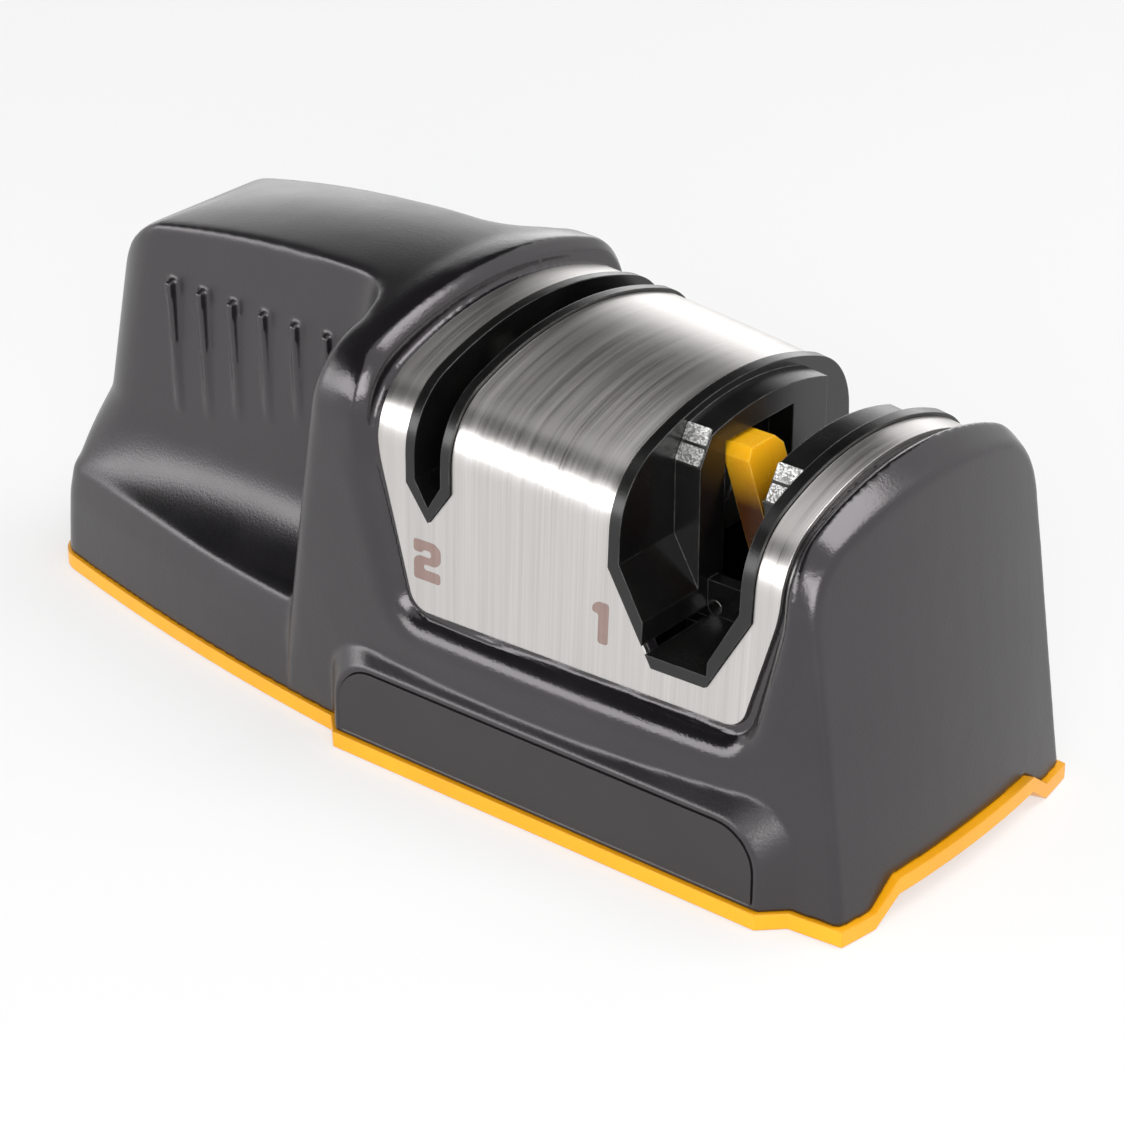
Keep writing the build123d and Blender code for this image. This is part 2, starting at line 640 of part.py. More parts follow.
# Bowed leaf springs behind the arms
with BuildPart() as left_arm_spring:
    pocket_wall_x = coarse_x - cheek_gap / 2 - pocket_depth
    leaf_mid_z = (leaf_low_z + leaf_high_z) / 2
    with BuildSketch(Plane.XZ.offset(arm_split + (arm_length - leaf_length) / 2)):
        with BuildLine():
            outer_leaf = ThreePointArc(
                (pocket_wall_x + leaf_gap, leaf_low_z),
                (pocket_wall_x + leaf_gap + leaf_bow, leaf_mid_z),
                (pocket_wall_x + leaf_gap, leaf_high_z),
            )
            inner_leaf = ThreePointArc(
                (pocket_wall_x + leaf_gap, leaf_low_z + leaf_thickness),
                (pocket_wall_x + leaf_gap + leaf_bow - leaf_thickness, leaf_mid_z),
                (pocket_wall_x + leaf_gap, leaf_high_z - leaf_thickness),
            )
            Line(outer_leaf @ 0, inner_leaf @ 0)
            Line(outer_leaf @ 1, inner_leaf @ 1)
        make_face()
    extrude(amount=leaf_length)
left_arm_spring.part.label = "left_arm_spring"
export_step(left_arm_spring.part, "parts/left_arm_spring.step")

with BuildPart() as right_arm_spring:
    add(left_arm_spring.part.rotate(coarse_axis, 180))
right_arm_spring.part.label = "right_arm_spring"
export_step(right_arm_spring.part, "parts/right_arm_spring.step")


def grit_pads(side, low):
    lean = radians(chamfer_lean)
    middle = pad_rise + pad_divider
    center = (
        coarse_x + side * (cheek_gap / 2 + pad_width / 2 + pad_divider / 2),
        -cheek_half_length + middle * sin(lean),
        low + middle * cos(lean),
    )
    with BuildSketch(Plane(center, x_dir=(1, 0, 0), z_dir=(0, -cos(lean), sin(lean)))) as pads:
        with GridLocations(0, pad_rise + pad_divider, 1, 2):
            RectangleRounded(pad_width, pad_rise, pad_corner_r)
    return pads.sketch


# Grit pads on the front chamfers of the cheeks
with BuildPart() as left_grit_pads:
    extrude(grit_pads(-1, left_chamfer_z), amount=pad_thickness)
left_grit_pads.part.label = "left_grit_pads"
export_step(left_grit_pads.part, "parts/left_grit_pads.step")

with BuildPart() as right_grit_pads:
    extrude(grit_pads(1, right_chamfer_z), amount=pad_thickness)
right_grit_pads.part.label = "right_grit_pads"
export_step(right_grit_pads.part, "parts/right_grit_pads.step")

# Fine guide: a narrow trough with a window for the rods, on two legs
with BuildPart() as fine_guide:
    extrude(fine_mouth(0), amount=far, both=True)
    add(proud_form.part, mode=Mode.INTERSECT)
    with Locations(*[(fine_x, side * (fine_leg_inner + fine_leg_outer) / 2, frame_top) for side in (-1, 1)]):
        Box(2 * fine_leg_half_x, fine_leg_outer - fine_leg_inner, fine_leg_top - frame_top, align=low_align)
    extrude(fine_mouth(-fine_liner), amount=far, both=True, mode=Mode.SUBTRACT)
    with Locations((fine_x, 0, fine_window_low)):
        Box(far, 2 * fine_window_half, fine_window_high - fine_window_low, align=low_align, mode=Mode.SUBTRACT)
    with Locations(*[(fine_x, side * fine_screw_y, frame_top) for side in (-1, 1)]):
        Cylinder(
            screw_r + pilot_clearance, screw_length - frame_sheet + pilot_spare,
            align=low_align, mode=Mode.SUBTRACT,
        )
fine_guide.part.label = "fine_guide"
export_step(fine_guide.part, "parts/fine_guide.step")

# Ceramic rods and the cradle that holds them
rod_places = {"front": leaning(fine_x, -rod_y, rod_foot, rod_top, edge_angle)}
rod_places["rear"] = leaning(fine_x, rod_y, rod_foot, rod_top, -edge_angle)

with BuildPart() as rod_cradle:
    with Locations((fine_x, 0, frame_top)):
        Box(2 * cradle_half_x, 2 * cradle_half_y, cradle_top - frame_top, align=low_align)
    for place, length in rod_places.values():
        with Locations(place):
            Cylinder(rod_r + rod_clearance, length, align=low_align, mode=Mode.SUBTRACT)
    with Locations(*[(fine_x, side * cradle_screw_y, frame_top) for side in (-1, 1)]):
        Cylinder(
            screw_r + pilot_clearance, screw_length - frame_sheet + pilot_spare,
            align=low_align, mode=Mode.SUBTRACT,
        )
rod_cradle.part.label = "rod_cradle"
export_step(rod_cradle.part, "parts/rod_cradle.step")

with BuildPart() as front_ceramic_rod:
    with Locations(rod_places["front"][0]):
        Cylinder(rod_r, rod_places["front"][1], align=low_align)
front_ceramic_rod.part.label = "front_ceramic_rod"
export_step(front_ceramic_rod.part, "parts/front_ceramic_rod.step")

with BuildPart() as rear_ceramic_rod:
    with Locations(rod_places["rear"][0]):
        Cylinder(rod_r, rod_places["rear"][1], align=low_align)
rear_ceramic_rod.part.label = "rear_ceramic_rod"
export_step(rear_ceramic_rod.part, "parts/rear_ceramic_rod.step")

# Inner frame: a tray on four legs that the guides and the cradle stand on
guide_screw_places = [(coarse_x, side * guide_screw_y) for side in (-1, 1)]
guide_screw_places += [(fine_x, side * fine_screw_y) for side in (-1, 1)]
cradle_screw_places = [(fine_x, side * cradle_screw_y) for side in (-1, 1)]

with BuildPart() as inner_frame:
    with Locations(((frame_left + frame_right) / 2, 0, frame_low)):
        Box(frame_right - frame_left, 2 * frame_half, frame_sheet, align=low_align)
    with Locations(*[(*place, plate_boss_top) for place in leg_places]):
        Cylinder(leg_r, frame_low - plate_boss_top, align=low_align)
        Cylinder(
            screw_r + pilot_clearance, screw_length - head_cover + pilot_spare,
            align=low_align, mode=Mode.SUBTRACT,
        )
    with Locations(*[(*place, frame_low) for place in guide_screw_places + cradle_screw_places]):
        Cylinder(screw_r + screw_clearance, frame_sheet, align=low_align, mode=Mode.SUBTRACT)
inner_frame.part.label = "inner_frame"
export_step(inner_frame.part, "parts/inner_frame.step")


def screws(places, seat_z):
    with BuildPart() as batch:
        with Locations(*[(*place, seat_z - screw_head_height) for place in places]):
            Cylinder(screw_head_r, screw_head_height, align=low_align)
            Cylinder(screw_r, screw_head_height + screw_length, align=low_align)
            Box(drive_length, drive_width, drive_depth, align=low_align, mode=Mode.SUBTRACT)
            Box(drive_width, drive_length, drive_depth, align=low_align, mode=Mode.SUBTRACT)
    return batch.part


# Screws, all driven from below
with BuildPart() as base_screws:
    add(screws(handle_boss_places + side_boss_places, plate_boss_top - head_cover))
base_screws.part.label = "base_screws"
export_step(base_screws.part, "parts/base_screws.step")

with BuildPart() as frame_screws:
    add(screws(leg_places, plate_boss_top - head_cover))
frame_screws.part.label = "frame_screws"
export_step(frame_screws.part, "parts/frame_screws.step")

with BuildPart() as guide_screws:
    add(screws(guide_screw_places, frame_low))
guide_screws.part.label = "guide_screws"
export_step(guide_screws.part, "parts/guide_screws.step")

with BuildPart() as cradle_screws:
    add(screws(cradle_screw_places, frame_low))
cradle_screws.part.label = "cradle_screws"
export_step(cradle_screws.part, "parts/cradle_screws.step")

# Rubber feet
with BuildPart() as rubber_feet:
    with Locations(*[(*place, 0) for place in foot_places]):
        Cylinder(foot_r, pad_height + foot_recess, align=low_align)
rubber_feet.part.label = "rubber_feet"
export_step(rubber_feet.part, "parts/rubber_feet.step")
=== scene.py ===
import json
from math import radians

import bmesh
import bpy
from mathutils import Matrix, Vector
from mathutils.bvhtree import BVHTree

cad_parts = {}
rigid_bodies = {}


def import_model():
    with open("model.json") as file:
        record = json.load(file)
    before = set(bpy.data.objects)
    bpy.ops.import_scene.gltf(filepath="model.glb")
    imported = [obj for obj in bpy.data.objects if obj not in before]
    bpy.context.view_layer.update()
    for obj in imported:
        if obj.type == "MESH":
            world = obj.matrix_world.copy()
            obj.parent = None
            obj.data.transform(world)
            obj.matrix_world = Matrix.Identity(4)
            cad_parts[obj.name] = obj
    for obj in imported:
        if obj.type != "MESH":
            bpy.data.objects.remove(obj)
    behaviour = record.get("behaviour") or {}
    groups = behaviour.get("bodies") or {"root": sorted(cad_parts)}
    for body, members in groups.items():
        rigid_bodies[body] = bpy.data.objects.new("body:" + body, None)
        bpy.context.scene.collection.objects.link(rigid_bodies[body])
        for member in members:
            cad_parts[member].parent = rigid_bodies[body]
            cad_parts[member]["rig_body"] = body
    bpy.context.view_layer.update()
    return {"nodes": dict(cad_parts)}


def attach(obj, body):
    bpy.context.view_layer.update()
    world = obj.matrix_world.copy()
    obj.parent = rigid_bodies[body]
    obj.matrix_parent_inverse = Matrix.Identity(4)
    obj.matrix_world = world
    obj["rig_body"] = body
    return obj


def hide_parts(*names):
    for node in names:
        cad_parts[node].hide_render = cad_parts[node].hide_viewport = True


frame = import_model()
nodes = frame["nodes"]
mm = 0.001
clearOf = 60 * mm     # a ray from this far out starts outside the object's walls
print("frame loaded:", len(nodes), "nodes")


# node trees

def nodeAt(tree, kind, **settings):
    node = tree.nodes.new(kind)
    for key, value in settings.items():
        setattr(node, key, value)
    return node


def setInputs(node, **values):
    for key, value in values.items():
        node.inputs[key.replace("_", " ")].default_value = value
    return node


def objectPlace(tree):
    return nodeAt(tree, "ShaderNodeTexCoord").outputs["Object"]


def mathNode(tree, operation, first, second, clamp=False):
    node = nodeAt(tree, "ShaderNodeMath", operation=operation, use_clamp=clamp)
    for socket, value in zip(node.inputs, (first, second)):
        if isinstance(value, (int, float)):
            socket.default_value = value
        else:
            tree.links.new(value, socket)
    return node.outputs[0]


def weighedSum(tree, first, firstShare, second, secondShare):
    return mathNode(tree, "ADD", mathNode(tree, "MULTIPLY", first, firstShare),
                    mathNode(tree, "MULTIPLY", second, secondShare))


def rampNode(tree, source, low, high, fromLow=0.0, fromHigh=1.0):
    node = nodeAt(tree, "ShaderNodeMapRange", clamp=True)
    tree.links.new(source, node.inputs["Value"])
    for label, value in (("From Min", fromLow), ("From Max", fromHigh),
                         ("To Min", low), ("To Max", high)):
        node.inputs[label].default_value = value
    return node.outputs["Result"]


def blendColours(tree, mask, first, second):
    # inputs 6 and 7 and output 2 are the colour sockets
    node = nodeAt(tree, "ShaderNodeMix", data_type="RGBA")
    tree.links.new(mask, node.inputs["Factor"])
    for index, value in ((6, first), (7, second)):
        if isinstance(value, tuple):
            node.inputs[index].default_value = (*value, 1.0)
        else:
            tree.links.new(value, node.inputs[index])
    return node.outputs[2]


def startGroup(name, inputs, outputs):
    group = bpy.data.node_groups.new(name, "ShaderNodeTree")
    for label, value in inputs.items():
        socket = group.interface.new_socket(
            name=label, in_out="INPUT", socket_type="NodeSocketFloat")
        socket.default_value = value
    for label, kind in outputs.items():
        group.interface.new_socket(name=label, in_out="OUTPUT", socket_type=kind)
    return group, nodeAt(group, "NodeGroupInput"), nodeAt(group, "NodeGroupOutput")


def mouldedGrainGroup():
    # pebbled mould texture, plus a slow cloud for colour and gloss
    tree, given, out = startGroup(
        "mouldedGrain", {"Pebble": 2600.0, "Cloud": 45.0},
        {"Height": "NodeSocketFloat", "Shade": "NodeSocketFloat"})
    place = objectPlace(tree)
    pebble = setInputs(nodeAt(tree, "ShaderNodeTexNoise"), Detail=3.0, Roughness=0.55)
    cell = nodeAt(tree, "ShaderNodeTexVoronoi", feature="SMOOTH_F1")
    cloud = setInputs(nodeAt(tree, "ShaderNodeTexNoise"), Detail=4.0, Roughness=0.6)
    for node, label in ((pebble, "Pebble"), (cell, "Pebble"), (cloud, "Cloud")):
        tree.links.new(place, node.inputs["Vector"])
        tree.links.new(given.outputs[label], node.inputs["Scale"])
    rough = rampNode(tree, pebble.outputs["Fac"], 0.0, 1.0, 0.3, 0.7)
    height = weighedSum(tree, rough, 0.6, cell.outputs["Distance"], 0.5)
    shade = rampNode(tree, cloud.outputs["Fac"], 0.0, 1.0, 0.32, 0.68)
    tree.links.new(height, out.inputs["Height"])
    tree.links.new(shade, out.inputs["Shade"])
    return tree


def edgeWearGroup():
    # rounded normal along edges, and a broken mask where they rub
    tree, given, out = startGroup(
        "edgeWear", {"Radius": 0.0004, "Gain": 6.0},
        {"Mask": "NodeSocketFloat", "Normal": "NodeSocketVector"})
    rounded = nodeAt(tree, "ShaderNodeBevel", samples=4)
    tree.links.new(given.outputs["Radius"], rounded.inputs["Radius"])
    plain = nodeAt(tree, "ShaderNodeNewGeometry")
    turn = nodeAt(tree, "ShaderNodeVectorMath", operation="DOT_PRODUCT")
    tree.links.new(rounded.outputs["Normal"], turn.inputs[0])
    tree.links.new(plain.outputs["Normal"], turn.inputs[1])
    edge = mathNode(tree, "SUBTRACT", 1.0, turn.outputs["Value"])
    edge = mathNode(tree, "MULTIPLY", edge, given.outputs["Gain"], clamp=True)
    scuff = setInputs(nodeAt(tree, "ShaderNodeTexNoise"), Scale=420.0, Detail=5.0)
    tree.links.new(objectPlace(tree), scuff.inputs["Vector"])
    broken = rampNode(tree, scuff.outputs["Fac"], 0.15, 1.0, 0.4, 0.65)
    tree.links.new(mathNode(tree, "MULTIPLY", edge, broken), out.inputs["Mask"])
    tree.links.new(rounded.outputs["Normal"], out.inputs["Normal"])
    return tree


def brushLinesGroup():
    # hairlines that run round X, as the belt leaves them
    tree, given, out = startGroup(
        "brushLines", {"Fine": 1.0},
        {"Height": "NodeSocketFloat", "Shade": "NodeSocketFloat"})
    place = objectPlace(tree)
    layers = []
    for stretch in ((9000.0, 45.0, 45.0), (2600.0, 22.0, 22.0), (700.0, 14.0, 14.0)):
        mapping = nodeAt(tree, "ShaderNodeMapping")
        mapping.inputs["Scale"].default_value = stretch
        tree.links.new(place, mapping.inputs["Vector"])
        noise = setInputs(nodeAt(tree, "ShaderNodeTexNoise"), Detail=2.0)
        tree.links.new(mapping.outputs["Vector"], noise.inputs["Vector"])
        tree.links.new(given.outputs["Fine"], noise.inputs["Scale"])
        layers.append(noise.outputs["Fac"])
    hair, scratch, band = layers
    height = weighedSum(tree, hair, 0.45, scratch, 0.55)
    shade = rampNode(tree, weighedSum(tree, height, 0.6, band, 0.4), 0.0, 1.0, 0.36, 0.64)
    tree.links.new(height, out.inputs["Height"])
    tree.links.new(shade, out.inputs["Shade"])
    return tree


grainGroup = mouldedGrainGroup()
wearGroup = edgeWearGroup()
brushGroup = brushLinesGroup()


# materials

def useGroup(tree, group, **values):
    node = nodeAt(tree, "ShaderNodeGroup", node_tree=group)
    return setInputs(node, **values)


def startMaterial(name, **sockets):
    material = bpy.data.materials.new(name)
    material.use_nodes = True
    tree = material.node_tree
    shader = setInputs(tree.nodes["Principled BSDF"], **sockets)
    return material, tree, shader


def bumpInto(tree, shader, height, look, normal=None):
    bump = setInputs(nodeAt(tree, "ShaderNodeBump"), Strength=look["bump"],
                     Distance=look["depth"])
    tree.links.new(height, bump.inputs["Height"])
    if normal is not None:
        tree.links.new(normal, bump.inputs["Normal"])
    tree.links.new(bump.outputs["Normal"], shader.inputs["Normal"])


def wornSurface(tree, shader, look, pattern, base=None):
    # tone, gloss and relief follow a pattern, and the edges are rubbed
    shade = pattern.outputs["Shade"]
    wear = useGroup(tree, wearGroup, Radius=look["edge"], Gain=look["gain"])
    if base is None:
        base = blendColours(tree, shade, look["dark"], look["light"])
    worn = blendColours(tree, wear.outputs["Mask"], base, look["rubbed"])
    tree.links.new(worn, shader.inputs["Base Color"])
    gloss = rampNode(tree, shade, *look["roughness"])
    if "polished" in look:
        polish = nodeAt(tree, "ShaderNodeAttribute", attribute_name="polish")
        gloss = mathNode(tree, "SUBTRACT", gloss, mathNode(
            tree, "MULTIPLY", polish.outputs["Fac"], look["polished"]))
    tree.links.new(gloss, shader.inputs["Roughness"])
    bumpInto(tree, shader, pattern.outputs["Height"], look, wear.outputs["Normal"])


def grainedMaterial(name, look):
    material, tree, shader = startMaterial(
        name, Metallic=look.get("metallic", 0.0),
        Specular_IOR_Level=look.get("specular", 0.5),
        Specular_Tint=(*look.get("tint", (1.0, 1.0, 1.0)), 1.0))
    grain = useGroup(tree, grainGroup, Pebble=look["pebble"], Cloud=look["cloud"])
    wornSurface(tree, shader, look, grain)
    return material


turned = {"metallic": 1.0, "edge": 0.0002, "gain": 4.0, "depth": 0.00003}
finishes = {
    "blackPlastic": {"dark": (0.0062, 0.0056, 0.0064), "light": (0.0098, 0.009, 0.01),
                     "rubbed": (0.022, 0.021, 0.022), "roughness": (0.27, 0.34),
                     "specular": 0.8, "tint": (1.0, 0.95, 0.985), "polished": 0.14,
                     "pebble": 2100.0, "cloud": 40.0, "edge": 0.0003, "gain": 3.0,
                     "bump": 0.3, "depth": 0.00006},
    "guidePlastic": {"dark": (0.0036, 0.0035, 0.0035), "light": (0.0065, 0.0062, 0.006),
                     "rubbed": (0.09, 0.088, 0.085), "roughness": (0.2, 0.28),
                     "pebble": 3200.0, "cloud": 90.0, "edge": 0.0003, "gain": 5.0,
                     "bump": 0.14, "depth": 0.00005},
    "satinBlack": {"dark": (0.011, 0.0104, 0.0108), "light": (0.015, 0.0142, 0.0148),
                   "rubbed": (0.06, 0.058, 0.056), "roughness": (0.4, 0.47),
                   "specular": 0.6, "tint": (1.0, 0.95, 0.985),
                   "pebble": 4800.0, "cloud": 60.0, "edge": 0.0002, "gain": 3.0,
                   "bump": 0.1, "depth": 0.00003},
    "yellowPlastic": {"dark": (0.88, 0.37, 0.003), "light": (0.94, 0.42, 0.005),
                      "rubbed": (0.98, 0.52, 0.05), "roughness": (0.33, 0.42),
                      "pebble": 2600.0, "cloud": 50.0, "edge": 0.0004, "gain": 2.0,
                      "bump": 0.12, "depth": 0.00005},
    "rubber": {"dark": (0.014, 0.014, 0.014), "light": (0.022, 0.022, 0.022),
               "rubbed": (0.04, 0.04, 0.04), "roughness": (0.72, 0.84),
               "pebble": 1800.0, "cloud": 120.0, "edge": 0.0002, "gain": 2.0,
               "bump": 0.3, "depth": 0.00005},
    "ceramic": {"dark": (0.76, 0.74, 0.69), "light": (0.85, 0.84, 0.8),
                "rubbed": (0.5, 0.49, 0.47), "roughness": (0.45, 0.6),
                "pebble": 5200.0, "cloud": 160.0, "edge": 0.0002, "gain": 1.0,
                "bump": 0.12, "depth": 0.00003},
    "pinSteel": {**turned, "dark": (0.55, 0.54, 0.53), "light": (0.68, 0.67, 0.66),
                 "rubbed": (0.85, 0.84, 0.83), "roughness": (0.2, 0.32),
                 "pebble": 4000.0, "cloud": 200.0, "bump": 0.05},
    "springSteel": {**turned, "dark": (0.36, 0.35, 0.36), "light": (0.48, 0.47, 0.47),
                    "rubbed": (0.7, 0.69, 0.68), "roughness": (0.26, 0.38),
                    "pebble": 3000.0, "cloud": 150.0, "bump": 0.06},
    "screwSteel": {**turned, "dark": (0.4, 0.39, 0.38), "light": (0.56, 0.55, 0.53),
                   "rubbed": (0.78, 0.77, 0.75), "roughness": (0.3, 0.42),
                   "pebble": 2600.0, "cloud": 240.0, "bump": 0.08},
}


def brushedSteelMaterial():
    look = {"dark": (0.55, 0.53, 0.515), "light": (0.67, 0.65, 0.635),
            "rubbed": (0.86, 0.85, 0.84), "roughness": (0.27, 0.36),
            "edge": 0.0002, "gain": 4.0, "bump": 0.035, "depth": 0.00002}
    material, tree, shader = startMaterial(
        "brushedSteel", Metallic=1.0, Anisotropic=0.6, Anisotropic_Rotation=0.25)
    tangent = nodeAt(tree, "ShaderNodeTangent", direction_type="RADIAL", axis="X")
    tree.links.new(tangent.outputs["Tangent"], shader.inputs["Tangent"])
    wornSurface(tree, shader, look, useGroup(tree, brushGroup, Fine=1.0))
    return material


def diamondGritMaterial():
    # nickel bond with grains standing out of it
    look = {"grain": 3400.0, "bond": (0.22, 0.215, 0.21), "facet": (0.7, 0.7, 0.69),
            "spark": (0.25, 0.85), "roughness": (0.3, 0.62), "bump": 0.6, "depth": 0.00012}
    material, tree, shader = startMaterial("diamondGrit", Metallic=0.85)
    cells = setInputs(nodeAt(tree, "ShaderNodeTexVoronoi"), Scale=look["grain"])
    tree.links.new(objectPlace(tree), cells.inputs["Vector"])
    tint = nodeAt(tree, "ShaderNodeSeparateColor")
    tree.links.new(cells.outputs["Color"], tint.inputs["Color"])
    spark = rampNode(tree, tint.outputs["Red"], 0.0, 1.0, *look["spark"])
    tree.links.new(blendColours(tree, spark, look["bond"], look["facet"]),
                   shader.inputs["Base Color"])
    tree.links.new(rampNode(tree, tint.outputs["Green"], *look["roughness"]),
                   shader.inputs["Roughness"])
    bumpInto(tree, shader, mathNode(tree, "SUBTRACT", spark, cells.outputs["Distance"]), look)
    return material


def amberPlasticMaterial():
    # clear coloured plastic, with painted shade: its colour darkens towards the bottom inside the
    # slot
    look = {"top": (1.0, 0.5, 0.01), "paintedShadeBrown": (0.06, 0.016, 0.002), "rubbed": (1.0, 0.6, 0.1),
            "clear": (0.0545, 0.065), "roughness": (0.2, 0.32), "pebble": 1500.0,
            "cloud": 150.0, "edge": 0.0003, "gain": 3.0, "bump": 0.06, "depth": 0.00005}
    material, tree, shader = startMaterial(
        "amberPlastic", IOR=1.5, Subsurface_Weight=0.35, Subsurface_Scale=0.004,
        Subsurface_Radius=(1.0, 0.45, 0.1))
    split = nodeAt(tree, "ShaderNodeSeparateXYZ")
    tree.links.new(objectPlace(tree), split.inputs[0])
    # painted shade: between the heights under clear, the base colour goes from the amber top down
    # to a shaded brown
    rise = rampNode(tree, split.outputs["Z"], 0.0, 1.0, *look["clear"])
    base = blendColours(tree, rise, look["paintedShadeBrown"], look["top"])
    grain = useGroup(tree, grainGroup, Pebble=look["pebble"], Cloud=look["cloud"])
    wornSurface(tree, shader, look, grain, base)
    return material


def stageInkMaterial():
    look = {"thin": (0.2, 0.13, 0.115), "full": (0.27, 0.19, 0.17),
            "bump": 0.08, "depth": 0.00002}
    material, tree, shader = startMaterial("stageInk", Roughness=0.5)
    lines = useGroup(tree, brushGroup, Fine=1.0)
    tree.links.new(blendColours(tree, lines.outputs["Shade"], look["thin"], look["full"]),
                   shader.inputs["Base Color"])
    bumpInto(tree, shader, lines.outputs["Height"], look)
    return material


materials = {name: grainedMaterial(name, look) for name, look in finishes.items()}
materials["brushedSteel"] = brushedSteelMaterial()
materials["diamondGrit"] = diamondGritMaterial()
materials["amberPlastic"] = amberPlasticMaterial()
materials["stageInk"] = stageInkMaterial()
print("materials ready:", len(materials))


# pieces

dressLook = {"weld": 2e-6, "flatAngle": 0.3, "sharpAngle": 30}


def meshFrom(bm, name):
    mesh = bpy.data.meshes.new(name)
    bm.to_mesh(mesh)
    bm.free()
    return mesh


def linkObject(name, data):
    thing = bpy.data.objects.new(name, data)
    bpy.context.scene.collection.objects.link(thing)
    return thing


def copyOf(nodeName):
    bm = bmesh.new()
    bm.from_mesh(nodes[nodeName].data)
    return bm


def treeOf(nodeName):
    bm = copyOf(nodeName)
    tree = BVHTree.FromBMesh(bm)
    bm.free()
    return tree


def mergedMesh(nodeName, flatAngle=None):
    bm = copyOf(nodeName)
    bmesh.ops.remove_doubles(bm, verts=bm.verts[:], dist=dressLook["weld"])
    if flatAngle:
        bmesh.ops.dissolve_limit(bm, angle_limit=radians(flatAngle), verts=bm.verts[:],
                                 edges=bm.edges[:])
    mesh = meshFrom(bm, nodeName + "_form")
    if "custom_normal" in mesh.attributes:
        mesh.attributes.remove(mesh.attributes["custom_normal"])
    return mesh


def smoothShade(mesh, sharpAngle):
    mesh.shade_smooth()
    mesh.set_sharp_from_angle(angle=radians(sharpAngle))


def addPiece(name, mesh, material, body):
    mesh.materials.clear()
    mesh.materials.append(materials[material])
    piece = linkObject(name, mesh)
    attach(piece, body)
    return piece


def applyModifiers(piece):
    graph = bpy.context.evaluated_depsgraph_get()
    mesh = bpy.data.meshes.new_from_object(piece.evaluated_get(graph))
    piece.modifiers.clear()
    piece.data = mesh
    return mesh


# housing, with places in mm along x and z

housingLook = {
    "voxel": 0.45 * mm, "triangles": 185000, "sharpAngle": 60,
    "edgeSteps": 3, "gripSteps": 45, "ledgeSteps": 16,
    # the soft grip fades out towards the collar, which leans, and towards the foot
    "gripRight": (-21.5, -15.5), "gripLow": (9.0, 13.0),
    "collarLean": 0.2126, "collarFoot": 20.2,
    # the ribs stay crisp inside this panel
    "ribPanel": ((-66.0, -25.0), (37.5, 63.5)), "ribFade": 2.0,
    # centres of the rounded corners of the steel's window, and their radius
    "window": ((3.4, 106.0), (3.4, 56.5), (9.3, 33.5), (66.4, 33.5), (70.8, 50.5),
               (70.8, 106.0)), "windowRound": 4.0,
    # distances outside the window: smoothing of the ledge, and polish
    "ledge": ((1.5, 2.4), (8.0, 11.0)), "polished": (5.0, 8.5),
    "windowSpan": (-12.0, 86.0), "ledgeFoot": (20.0, 23.0),
    # rolled edge: width, radius, and the stretch that gets it
    "lip": 1.4, "rollReach": 4.6, "rollRadius": 5.4, "rollSlack": 0.3, "rollProbe": 0.6,
    "rollX": (-8.0, 78.0), "rollZ": (22.0, 58.0), "rollFront": 28.6,
    "rollTop": (50.0, 58.0), "rollRight": (68.0, 78.0),
}


def fade(value, start, finish):
    share = min(1.0, max(0.0, (value - start) / (finish - start)))
    return share * share * (3.0 - 2.0 * share)


def windowDistance(x, z):
    # how far outside the window's outline a point lies, below zero inside
    corners = housingLook["window"]
    spot, nearest, inside = Vector((x, z)), 1e9, False
    for first, second in zip(corners, corners[1:] + corners[:1]):
        a, b = Vector(first), Vector(second)
        run = b - a
        share = min(1.0, max(0.0, (spot - a).dot(run) / run.length_squared))
        nearest = min(nearest, (spot - a - run * share).length)
        if (a.y > z) != (b.y > z) and x < a.x + run.x * (z - a.y) / run.y:
            inside = not inside
    return (-nearest if inside else nearest) - housingLook["windowRound"]


def awayFromWindow(x, z):
    step = 0.05
    return Vector((windowDistance(x + step, z) - windowDistance(x - step, z),
                   windowDistance(x, z + step) - windowDistance(x, z - step))).normalized()


def nearWindow(x, z):
    left, right = housingLook["windowSpan"]
    return left <= x <= right and z >= housingLook["ledgeFoot"][0]


def gripWeight(x, z):
    (left, right), (low, high) = housingLook["ribPanel"]
    spare = housingLook["ribFade"]
    panel = min(fade(x, left - spare, left), 1 - fade(x, right, right + spare),
                fade(z, low - spare, low), 1 - fade(z, high, high + spare))
    lean = max(0.0, z - housingLook["collarFoot"]) * housingLook["collarLean"]
    return min(1 - fade(x - lean, *housingLook["gripRight"]),
               fade(z, *housingLook["gripLow"]), 1 - panel)


def ledgeWeight(x, z):
    if not nearWindow(x, z):
        return 0.0
    rise, fall = housingLook["ledge"]
    distance = windowDistance(x, z)
    return fade(distance, *rise) * (1 - fade(distance, *fall)) * fade(z, *housingLook["ledgeFoot"])


def polishAt(x, z):
    # the bevel round the steel is smoother than the rest
    if not nearWindow(x, z):
        return 0.0
    return 1 - fade(windowDistance(x, z), *housingLook["polished"])


